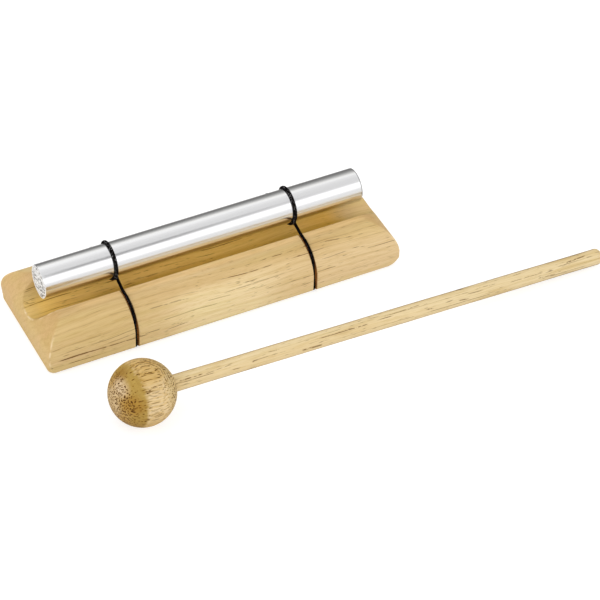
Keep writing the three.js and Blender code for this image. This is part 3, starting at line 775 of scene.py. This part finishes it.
def make_rod():
    """One closed skin: smooth side, a small broken edge, and torn saw faces at both ends."""
    seg = 192
    half = ROD_L / 2
    rings = []  # (x, radius, on the face)
    face_radii = list(np.linspace(0.12, ROD_R - 0.55, 52))
    for r in face_radii:
        rings.append((-half, r, True))
    for a in np.linspace(0, math.pi / 2, 7)[1:]:
        e = 0.45
        rings.append((-half + e - e * math.cos(a), ROD_R - e + e * math.sin(a), False))
    for x in np.linspace(-half + 1.2, half - 1.2, 97):
        rings.append((x, ROD_R, False))
    for a in np.linspace(math.pi / 2, 0, 7)[:-1]:
        e = 0.45
        rings.append((half - e + e * math.cos(a), ROD_R - e + e * math.sin(a), False))
    for r in face_radii[::-1]:
        rings.append((half, r, True))
    ang = np.linspace(0, 2 * math.pi, seg, endpoint=False)
    verts, kinds = [], []
    for k, (x, r, face) in enumerate(rings):
        pts = np.c_[np.full(seg, x), r * np.cos(ang), r * np.sin(ang)]
        if face:
            yz = pts[:, 1:]
            sign = 1 if x > 0 else -1
            seed = 5 if x > 0 else 9
            # Saw lines: long arcs across the face, broken up, with torn pits
            arc = np.hypot(yz[:, 0] + 60, yz[:, 1] - 25)
            line = value_noise(np.c_[arc * 2.6, yz[:, 0] * 0.35 + 40], seed)
            tear = value_noise(yz * 1.5 + 50, seed + 1) + 0.6 * value_noise(yz * 3.4 + 70, seed + 2)
            edge = smooth(ROD_R - 0.55, ROD_R - 1.0, np.full(seg, r))
            pts[:, 0] += sign * (0.030 * line + 0.050 * tear - 0.05) * edge
        verts.append(pts)
        kinds.append(face)
    n_rings = len(rings)
    verts = np.concatenate(verts)
    c0, c1 = len(verts), len(verts) + 1
    ends = np.array([[verts[:seg, 0].mean(), 0, 0], [verts[-seg:, 0].mean(), 0, 0]])
    verts = np.concatenate([verts, ends])
    faces, mats = [], []
    for k in range(n_rings - 1):
        for s in range(seg):
            t = (s + 1) % seg
            faces.append((k * seg + s, k * seg + t, (k + 1) * seg + t, (k + 1) * seg + s))
            mats.append(1 if kinds[k] or kinds[k + 1] else 0)
    for s in range(seg):
        t = (s + 1) % seg
        faces.append((c0, t, s))
        mats.append(1)
        last = (n_rings - 1) * seg
        faces.append((c1, last + s, last + t))
        mats.append(1)
    # Drawn bar is never quite true: long shallow waves, hundredths of a millimetre
    around = np.arctan2(verts[:, 2], verts[:, 1])
    wave = value_noise(np.c_[verts[:, 0] / 17.0 + 12, (np.cos(around) + 1) * 2.2 + 3], 21)
    wave += 0.4 * value_noise(np.c_[verts[:, 0] / 7.0 + 30, (np.sin(around) + 1) * 3.5 + 5], 22)
    skin = smooth(ROD_R - 0.5, ROD_R - 0.05, np.hypot(verts[:, 1], verts[:, 2]))
    verts[:, 1:] *= (1 + skin * wave * 0.014 / ROD_R)[:, None]
    verts = (verts + np.array([ROD_X, ROD_Y, ROD_Z])) * MM
    ob = mesh_object("rod_body", verts, faces)
    ob.data.materials.append(rod_metal)
    ob.data.materials.append(end_metal)
    ob.data.polygons.foreach_set("material_index", mats)
    return ob


rod = make_rod()
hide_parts("chime_rod")
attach(rod, "rod")


# ---------------------------------------------------------------- the cords
WRAP_R = 8.66
RIM_OUT, SIDE_IN, UNDER_Z = 0.36, 1.25, 0.85


def side_route():
    """(|y|, z) from the middle of the underside, up the kerf, to the rim of the groove."""
    pts = [(0.0, UNDER_Z)]
    y_wall = BLOCK_W / 2 - SIDE_IN
    bend = 1.5
    pts += [(y, UNDER_Z) for y in np.arange(0.5, y_wall - bend, 0.5)]
    for a in np.linspace(-math.pi / 2, 0, 12):
        pts.append((y_wall - bend + bend * math.cos(a), UNDER_Z + bend + bend * math.sin(a)))
    for z in np.arange(UNDER_Z + bend + 0.5, WALL_TOP, 0.5):
        pts.append((y_wall, z))
    for a in np.linspace(0.02, math.pi / 2, 50):
        y, z = BLOCK_W / 2 - DOME_SIDE + DOME_SIDE * math.cos(a), WALL_TOP + DOME_H * math.sin(a)
        ny, nz = math.cos(a) / DOME_SIDE, math.sin(a) / DOME_H
        k = math.hypot(ny, nz)
        out = -SIDE_IN + (SIDE_IN + RIM_OUT) * float(smooth(11.0, 21.6, np.array(z)))
        pts.append((y + ny / k * out, z + nz / k * out))
    pts += [(12.5, BLOCK_H + RIM_OUT), (11.9, BLOCK_H + RIM_OUT)]
    pts = np.array(pts)
    # It stands out at the foot, where it turns under
    pts[:, 0] += 0.45 * smooth(7.0, 3.0, pts[:, 1]) * smooth(20.0, 25.5, pts[:, 0])
    return pts


def tangent(sign):
    """Angle, about the rod, where the strand from that rim meets the turn underneath."""
    y, z = sign * 11.9, BLOCK_H + RIM_OUT
    dy, dz = ROD_Y - y, ROD_Z - z
    dist = math.hypot(dy, dz)
    base = math.atan2(dz, abs(dy))
    slope = base - math.asin(WRAP_R / dist)
    length = math.sqrt(dist**2 - WRAP_R**2)
    ty = y - sign * length * math.cos(slope)
    tz = z + length * math.sin(slope)
    return math.atan2(tz - ROD_Z, ty - ROD_Y)


def resample(pts, step):
    seg = np.linalg.norm(np.diff(pts, axis=0), axis=1)
    s = np.r_[0, np.cumsum(seg)]
    n = max(int(round(s[-1] / step)), 4)
    u = np.linspace(0, s[-1], n + 1)
    return np.c_[[np.interp(u, s, pts[:, i]) for i in range(3)]].T


def cord_route():
    """One cord's centre line from the middle of the underside, up the back, once round the rod
    and down the front."""
    side = side_route()
    back = np.c_[np.zeros(len(side)), side[:, 0], side[:, 1]]
    front = np.c_[np.zeros(len(side)), -side[:, 0], side[:, 1]][::-1]
    a0 = tangent(1)
    a1 = tangent(-1) - 2 * math.pi
    if a1 > a0 - 2 * math.pi + 1.2:
        a1 -= 2 * math.pi
    t = np.linspace(0, 1, 220)
    a = a0 + (a1 - a0) * t
    x = -0.50 + (-2.0 + 0.50) * (1 - t) ** 8 + (1.85 + 0.50) * t**5
    turn = np.c_[x, ROD_Y + WRAP_R * np.cos(a), ROD_Z + WRAP_R * np.sin(a)]
    for side_ in (back, front):
        # In the kerf the cord lies against one wall
        side_[:, 0] = -0.28 * smooth(19.0, 11.0, side_[:, 2])
    pts = resample(np.concatenate([back, turn, front]), 0.15)
    # Ease the joins between the stretches
    for _ in range(30):
        pts[1:-1] += 0.5 * ((pts[:-2] + pts[2:]) / 2 - pts[1:-1])
    return resample(pts, 0.15)


route = cord_route()


def cord_section(p):
    """Half-width along X and half-thickness: pressed flat on the rod, squeezed in the kerf."""
    on_rod = smooth(WRAP_R + 0.9, WRAP_R + 0.15, np.hypot(p[:, 1] - ROD_Y, p[:, 2] - ROD_Z))
    in_kerf = smooth(11.0, 14.5, np.abs(p[:, 1])) * (1 - on_rod)
    low = smooth(19.0, 10.0, p[:, 2]) * in_kerf
    wide = 0.72 + 0.14 * on_rod - 0.07 * in_kerf - 0.11 * low
    thick = 0.70 - 0.10 * on_rod - 0.05 * in_kerf
    return wide, thick


def braid(theta, s, turns=4, pitch=2.4):
    """Height, 0 to 1, of a braided cover: two sets of yarns that pass over and under in turn."""
    u = turns * theta / (2 * math.pi)
    v = s / pitch * turns / 2
    a, b = u + v, u - v
    fa, fb = a - np.floor(a) - 0.5, b - np.floor(b) - 0.5
    over = (np.floor(a) + np.floor(b)) % 2 < 1
    crest_a = np.sqrt(np.maximum(1 - (fa / 0.56) ** 2, 0)) * (0.72 + 0.28 * np.cos(2 * math.pi * fb))
    crest_b = np.sqrt(np.maximum(1 - (fb / 0.56) ** 2, 0)) * (0.72 + 0.28 * np.cos(2 * math.pi * fa))
    return np.where(over, np.maximum(crest_a, 0.75 * crest_b), np.maximum(crest_b, 0.75 * crest_a))


def cord_piece(name, kerf_x, spans):
    """A tube with a braided skin over each span (first, last index) of the route."""
    tan = np.gradient(route, axis=0)
    tan /= np.linalg.norm(tan, axis=1)[:, None]
    along = np.array([1.0, 0, 0])
    b = along - (tan @ along)[:, None] * tan
    b /= np.linalg.norm(b, axis=1)[:, None]
    nrm = np.cross(tan, b)
    s = np.r_[0, np.cumsum(np.linalg.norm(np.diff(route, axis=0), axis=1))]
    wide, thick = cord_section(route)
    seg = 36
    th = np.linspace(0, 2 * math.pi, seg, endpoint=False)
    verts, faces, yarn = [], [], []
    for lo, hi in spans:
        first = len(verts) * 1
        base = sum(len(v) for v in verts)
        for i in range(lo, hi + 1):
            h = braid(th, np.full(seg, s[i]))
            grow = 1 + 0.26 * (h - 0.80)
            ring = (
                route[i]
                + np.outer(np.cos(th) * grow * wide[i], b[i])
                + np.outer(np.sin(th) * grow * thick[i], nrm[i])
            )
            verts.append(ring)
            yarn.append(h)
        rows = hi - lo + 1
        for k in range(rows - 1):
            for q in range(seg):
                t = (q + 1) % seg
                faces.append((base + k * seg + q, base + k * seg + t, base + (k + 1) * seg + t, base + (k + 1) * seg + q))
        faces.append(tuple(base + q for q in range(seg))[::-1])
        faces.append(tuple(base + (rows - 1) * seg + q for q in range(seg)))
    verts = (np.concatenate(verts) + np.array([kerf_x, 0, 0])) * MM
    ob = mesh_object(name, verts, faces)
    at_ = ob.data.attributes.new("yarn", "FLOAT", "POINT")
    at_.data.foreach_set("value", np.concatenate(yarn).astype(np.float32))
    ob.data.materials.append(elastic)
    bm_fix(ob)
    return ob


def bm_fix(ob):
    """Faces outward."""
    import bmesh

    bm = bmesh.new()
    bm.from_mesh(ob.data)
    bmesh.ops.recalc_face_normals(bm, faces=bm.faces)
    bm.to_mesh(ob.data)
    bm.free()
    ob.data.update()


# Where the route passes under and over the rod: the front half and the back half part there.
rel = np.arctan2(route[:, 2] - ROD_Z, route[:, 1] - ROD_Y)
near_rod = np.hypot(route[:, 1] - ROD_Y, route[:, 2] - ROD_Z) < WRAP_R + 0.3
cross = [
    i
    for i in range(1, len(route))
    if near_rod[i] and (route[i - 1, 1] - ROD_Y) * (route[i, 1] - ROD_Y) <= 0 and route[i - 1, 1] != ROD_Y
]
under_in, over, under_out = cross[0], cross[1], cross[-1]
last = len(route) - 1
for label, kerf_x in KERFS.items():
    back = cord_piece(label + "_cord_back", kerf_x, [(0, under_in), (over, under_out)])
    front = cord_piece(label + "_cord_front", kerf_x, [(under_in, over), (under_out, last)])
    for piece, sign, lo, hi in ((front, 1, 8.25, 13.0), (back, -1, 8.25, 11.3)):
        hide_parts(label + "_cord")
        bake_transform(piece)


# ---------------------------------------------------------------- the mallet
def lathe(name, profile, seg):
    """Closed skin of revolution about local X from (x, radius) pairs; the first and last are on the axis."""
    ang = np.linspace(0, 2 * math.pi, seg, endpoint=False)
    verts = [[(profile[0][0], 0, 0)]]
    for x, r in profile[1:-1]:
        verts.append([(x, r * math.cos(a), r * math.sin(a)) for a in ang])
    verts.append([(profile[-1][0], 0, 0)])
    flat = np.array([v for ring in verts for v in ring])
    rows = len(profile) - 2
    faces = [(0, 1 + (s + 1) % seg, 1 + s) for s in range(seg)]
    for k in range(rows - 1):
        for s in range(seg):
            t = (s + 1) % seg
            a = 1 + k * seg
            faces.append((a + s, a + t, a + seg + t, a + seg + s))
    tip = len(flat) - 1
    a = 1 + (rows - 1) * seg
    faces += [(tip, a + s, a + (s + 1) % seg) for s in range(seg)]
    return flat, faces


def mallet_matrix():
    yaw = Matrix.Rotation(math.radians(STICK_YAW), 4, "Z")
    dip = Matrix.Rotation(math.asin((BALL_R - STICK_R) / STICK_REACH), 4, "Y")
    return Matrix.Translation(Vector((BALL_X, BALL_Y, BALL_R)) * MM) @ yaw @ dip


HOLE_R = STICK_R + 0.05
HOLE_X = BALL_R - 19.0


def make_ball():
    prof = []
    rim = math.sqrt(BALL_R**2 - (HOLE_R + 0.35) ** 2)
    stop = math.acos(-rim / BALL_R)
    for a in np.linspace(0, stop, 110):
        prof.append((-BALL_R * math.cos(a), BALL_R * math.sin(a)))
    # Broken edge of the hole, its wall and its bottom
    for x, r in ((rim - 0.04, HOLE_R + 0.22), (rim - 0.12, HOLE_R + 0.1), (rim - 0.28, HOLE_R + 0.02),
                 (rim - 0.6, HOLE_R), (HOLE_X + 0.3, HOLE_R), (HOLE_X + 0.05, HOLE_R - 0.1), (HOLE_X, HOLE_R - 0.4)):
        prof.append((x, r))
    for r in np.linspace(HOLE_R - 1, 0, 6):
        prof.append((HOLE_X, r))
    flat, faces = lathe("ball", prof, 160)
    return mesh_object("mallet_ball", flat * MM, faces)


def make_stick():
    start = HOLE_X + 0.25
    prof = [(start, 0.0), (start, 1.5), (start, 3.0), (start + 0.05, 3.5), (start + 0.3, STICK_R)]
    nose = 2.7
    for x in np.arange(start + 3, STICK_REACH - nose - 0.5, 1.6):
        # A sanded dowel is a few hundredths out of true
        prof.append((x, STICK_R + 0.035 * math.sin(x / 9.0) + 0.03 * math.sin(x / 23.0 + 1.0) - 0.02))
    for a in np.linspace(0, math.pi / 2, 18):
        prof.append((STICK_REACH - nose + nose * math.sin(a), STICK_R - nose + nose * math.cos(a)))
    for r in np.linspace(STICK_R - nose - 0.2, 0, 5):
        prof.append((STICK_REACH, r))
    flat, faces = lathe("stick", prof, 72)
    return mesh_object("mallet_stick", flat * MM, faces)


for piece, node, slot_name, mat in (
    (make_ball(), "mallet_head", "ball_wood", ball_wood),
    (make_stick(), "mallet_handle", "stick_wood", stick_wood),
):
    bm_fix(piece)
    piece.data.materials.append(mat)
    piece.matrix_world = mallet_matrix()
    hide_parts(node)
    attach(piece, "mallet")

# Hidden CAD nodes still carry a worked finish.
for node, mat in (
    ("resonator_base", block_wood),
    ("chime_rod", rod_metal),
    ("left_cord", elastic),
    ("right_cord", elastic),
    ("mallet_head", ball_wood),
    ("mallet_handle", stick_wood),
):
    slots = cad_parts[node].material_slots
    for s in slots:
        s.link = "OBJECT"
        s.material = mat


# ---------------------------------------------------------------- floor, light
def stage_material(name, colour, glow=0.0):
    m, n, p = material(name)
    coord = n.new("ShaderNodeTexCoord").outputs["Object"]
    soft = n.noise(coord, 3.0, 1.0)
    n.put(p["Base Color"], n.mix(n.remap(soft, 0.3, 0.7), colour, tuple(c * 0.995 for c in colour)))
    p["Roughness"].default_value = 0.9
    p["Specular IOR Level"].default_value = 0.0
    p["Emission Color"].default_value = (1, 1, 1, 1)
    p["Emission Strength"].default_value = glow
    return m, n, p


def plane(name, corners, mat):
    me = bpy.data.meshes.new(name)
    me.from_pydata(corners, [], [tuple(range(len(corners)))])
    me.materials.append(mat)
    ob = bpy.data.objects.new(name, me)
    bpy.context.scene.collection.objects.link(ob)
    return ob


def only_for(ob, *rays):
    """Limit a stage piece to the kinds of ray named."""
    for kind in ("camera", "diffuse", "glossy", "transmission", "volume_scatter", "shadow"):
        setattr(ob, "visible_" + kind, kind in rays)


SPAN = [(-6, -6), (6, -6), (6, 6), (-6, 6)]
# The table as the camera sees it: white, lit from below as well, so that shadows stay faint
floor = plane("floor", [(x, y, 0) for x, y in SPAN], stage_material("floor_white", (0.50, 0.50, 0.50), 0.66)[0])
only_for(floor, "camera")
# The same table as it lights the object and shows in the metal
bounce = plane("floor_bounce", [(x, y, -0.0004) for x, y in SPAN], stage_material("floor_pale", (0.80, 0.80, 0.80), 0.07)[0])
only_for(bounce, "diffuse", "glossy", "transmission", "shadow")

AXIS_Z = 0.0295
REACH = (0.344, 0.939)


def mirrored(phi):
    """Unit direction in which the rod's side mirrors the camera's line, by angle about its axis."""
    a = math.radians(phi)
    return np.array([REACH[0], REACH[1] * math.cos(a), REACH[1] * math.sin(a)])


def graded(name, axis, length, steps, tint=(1.0, 1.0, 1.0)):
    """A glowing card whose brightness goes by one of its coordinates."""
    m, n, p = stage_material(name, (0.0, 0.0, 0.0))
    at_ = n.split(n.new("ShaderNodeTexCoord").outputs["Object"])[axis]
    ramp = n.new("ShaderNodeValToRGB")
    n.put(ramp.inputs[0], n.math("DIVIDE", at_, length))
    ramp.color_ramp.interpolation = "LINEAR"
    for i, (pos, v) in enumerate(steps):
        e = ramp.color_ramp.elements[i] if i < 2 else ramp.color_ramp.elements.new(pos)
        e.position = pos
        v = v if isinstance(v, tuple) else tuple(v * c for c in tint)
        e.color = (*v, 1)
    n.put(p["Emission Color"], ramp.outputs[0])
    p["Emission Strength"].default_value = 1.0
    return m


# The dim strip of room behind the table: the rod's upper edge mirrors it
BOARD_AT, BOARD_H, BOARD_TURN = 0.155, 0.30, 28.2


def board_height(phi):
    v = mirrored(phi)
    t = math.radians(BOARD_TURN)
    away = v[0] * math.sin(t) + v[1] * math.cos(t)
    return (AXIS_Z + BOARD_AT * v[2] / away) / BOARD_H


steps = [
    (board_height(phi), v)
    for phi, v in ((-10, 0.20), (-2, 0.175), (8, 0.185), (14, 0.215), (18, 0.26), (24, 0.325), (30, 0.44), (36, 0.60), (42, 0.80),
                   (48, 0.97), (54, 1.04))
]
top = BOARD_H * steps[-1][0]
t = math.radians(BOARD_TURN)
mid = Vector((math.sin(t) * BOARD_AT, math.cos(t) * BOARD_AT, 0))
run = Vector((math.cos(t), -math.sin(t), 0))
flag = plane(
    "flag",
    [tuple(mid - run * 1.2), tuple(mid + run * 1.2), tuple(mid + run * 1.2 + Vector((0, 0, top))),
     tuple(mid - run * 1.2 + Vector((0, 0, top)))],
    graded("grey_board", 2, BOARD_H, steps, (1.0, 0.995, 0.975)),
)
only_for(flag, "glossy")
# and its shade on the table between it and the object
shade_steps = [(0.0, 0.72), (0.20, 0.66), (0.42, 0.50), (0.62, 0.35), (0.85, 0.24), (1.0, 0.20)]
shade = plane(
    "flag_shade",
    [(-1.0, 0.034, 0.0004), (0.125, 0.034, 0.0004), (0.125, 0.18, 0.0004), (-1.0, 0.18, 0.0004)],
    graded("grey_shade", 1, 0.18, [(0.19 + 0.66 * q, v) for q, v in shade_steps], (1.0, 0.995, 0.985)),
)
only_for(shade, "glossy")
# Glowing cards seen only in reflections: painted bounce light from the wood on the table in front of the block, more so
# on the left
warm_steps = [
    (0.029, (0.58, 0.43, 0.25)), (0.040, (0.65, 0.51, 0.32)), (0.052, (0.69, 0.57, 0.39)), (0.066, (0.74, 0.64, 0.49)),
    (0.091, (0.77, 0.69, 0.57)), (0.140, (0.78, 0.73, 0.66)), (0.280, (0.82, 0.80, 0.76)), (0.60, (0.82, 0.82, 0.81)),
]
cool_steps = [
    (0.029, (0.60, 0.46, 0.28)), (0.040, (0.68, 0.56, 0.38)), (0.052, (0.73, 0.64, 0.49)), (0.066, (0.77, 0.70, 0.59)),
    (0.091, (0.80, 0.75, 0.67)), (0.140, (0.81, 0.78, 0.73)), (0.280, (0.85, 0.84, 0.82)), (0.60, (0.85, 0.85, 0.84)),
]
for label, rows, x0, x1 in (("left", warm_steps, -1.0, 0.03), ("right", cool_steps, 0.03, 1.2)):
    card = plane(
        "front_glow_" + label,
        [(x0, -0.60, 0.0003), (x1, -0.60, 0.0003), (x1, -0.029, 0.0003), (x0, -0.029, 0.0003)],
        graded("front_glow_" + label, 1, -0.60, [(d / 0.60, c) for d, c in rows]),
    )
    only_for(card, "glossy")
# Right of the block the table is in shade: the rod's far edge mirrors it
for label, x0, y0, y1 in (("near", 0.105, -0.10, 0.034), ("far", 0.125, 0.034, 0.30)):
    side_card = plane(
        "side_shade_" + label,
        [(x0, y0, 0.0005), (0.50, y0, 0.0005), (0.50, y1, 0.0005), (x0, y1, 0.0005)],
        graded("side_shade_" + label, 0, 0.50, [(0.2, 0.08), (0.6, 0.10), (1.0, 0.2)]),
    )
    only_for(side_card, "glossy")
# A dark card overhead, left, seen only in reflections: it paints the thin line along the near half of the rod
card_dir = mirrored(115.5)
card_at = np.array([0.0, 0.0, AXIS_Z]) + 0.5 * card_dir
card_w = 0.055
card_x0, card_x1 = -0.12 + card_at[0], 0.06 + card_at[0]
across = np.array([0.0, -card_dir[2], card_dir[1]]) / math.hypot(card_dir[1], card_dir[2]) * card_w
dark_card = plane(
    "overhead_dark_card",
    [(card_x0, *(card_at + across)[1:]), (card_x0, *(card_at - across)[1:]), (card_x1, *(card_at - across)[1:]), (card_x1, *(card_at + across)[1:])],
    graded("grey_dark_card", 0, card_x1, [(0.40, 0.26), (0.61, 0.36), (0.74, 0.52), (0.87, 0.64), (1.0, 0.75)], (1.0, 0.99, 1.0)),
)
only_for(dark_card, "glossy")


def softbox(name, at_, aim, w, h, power, colour=(1, 1, 1), glossy=True):
    light = bpy.data.lights.new(name, "AREA")
    light.shape = "RECTANGLE"
    light.size, light.size_y = w, h
    light.energy = power
    light.color = colour
    ob = bpy.data.objects.new(name, light)
    ob.location = at_
    ob.rotation_mode = "QUATERNION"
    ob.rotation_quaternion = (Vector(aim) - Vector(at_)).to_track_quat("-Z", "Y")
    ob.visible_camera = False
    ob.visible_glossy = glossy
    bpy.context.scene.collection.objects.link(ob)
    return ob


# Fill for the wood only; the world is the light tent that the rod mirrors
softbox("front_box", (0.60, -0.80, 0.75), (0.05, 0, 0.02), 0.9, 0.6, 2.0, glossy=False)
softbox("left_box", (-0.95, 0.25, 0.50), (0.0, 0, 0.02), 0.8, 0.6, 2.6, glossy=False)

# The tent: panels side by side along X, so its brightness goes by the angle about X
TENT = [
    (0, 0.95), (54, 1.0), (60, 0.985), (66, 0.91), (72, 0.86), (78, 0.825), (84, 0.795), (90, 0.77), (107, 0.765),
    (114, 0.76), (121, 0.77), (125, 0.93), (129, 1.25), (157, 1.25), (161, 1.08), (166, 0.94),
    (172, 0.86), (180, 0.83),
]
world = bpy.data.worlds.new("studio")
bpy.context.scene.world = world
world.use_nodes = True
wt = world.node_tree
wt.nodes.clear()
w = Nodes(wt)
direction = w.new("ShaderNodeTexCoord").outputs["Generated"]
wx, wy, wz = w.split(direction)
angle = w.math("ARCTAN2", w.math("MAXIMUM", wz, 0.0), wy)
ramp = w.new("ShaderNodeValToRGB")
w.put(ramp.inputs[0], w.math("DIVIDE", angle, math.pi))
ramp.color_ramp.interpolation = "EASE"
for i, (deg, v) in enumerate(TENT):
    e = ramp.color_ramp.elements[i] if i < 2 else ramp.color_ramp.elements.new(deg / 180.0)
    e.position = deg / 180.0
    e.color = (v, v * 0.998, v, 1)
bg = w.new("ShaderNodeBackground")
w.put(bg.inputs["Color"], ramp.outputs[0])
bg.inputs["Strength"].default_value = 1.0
wo = w.new("ShaderNodeOutputWorld")
wt.links.new(bg.outputs[0], wo.inputs[0])

view = bpy.context.scene.view_settings
view.view_transform = "Standard"
view.look = "None"
view.exposure = 0.0
view.gamma = 1.0
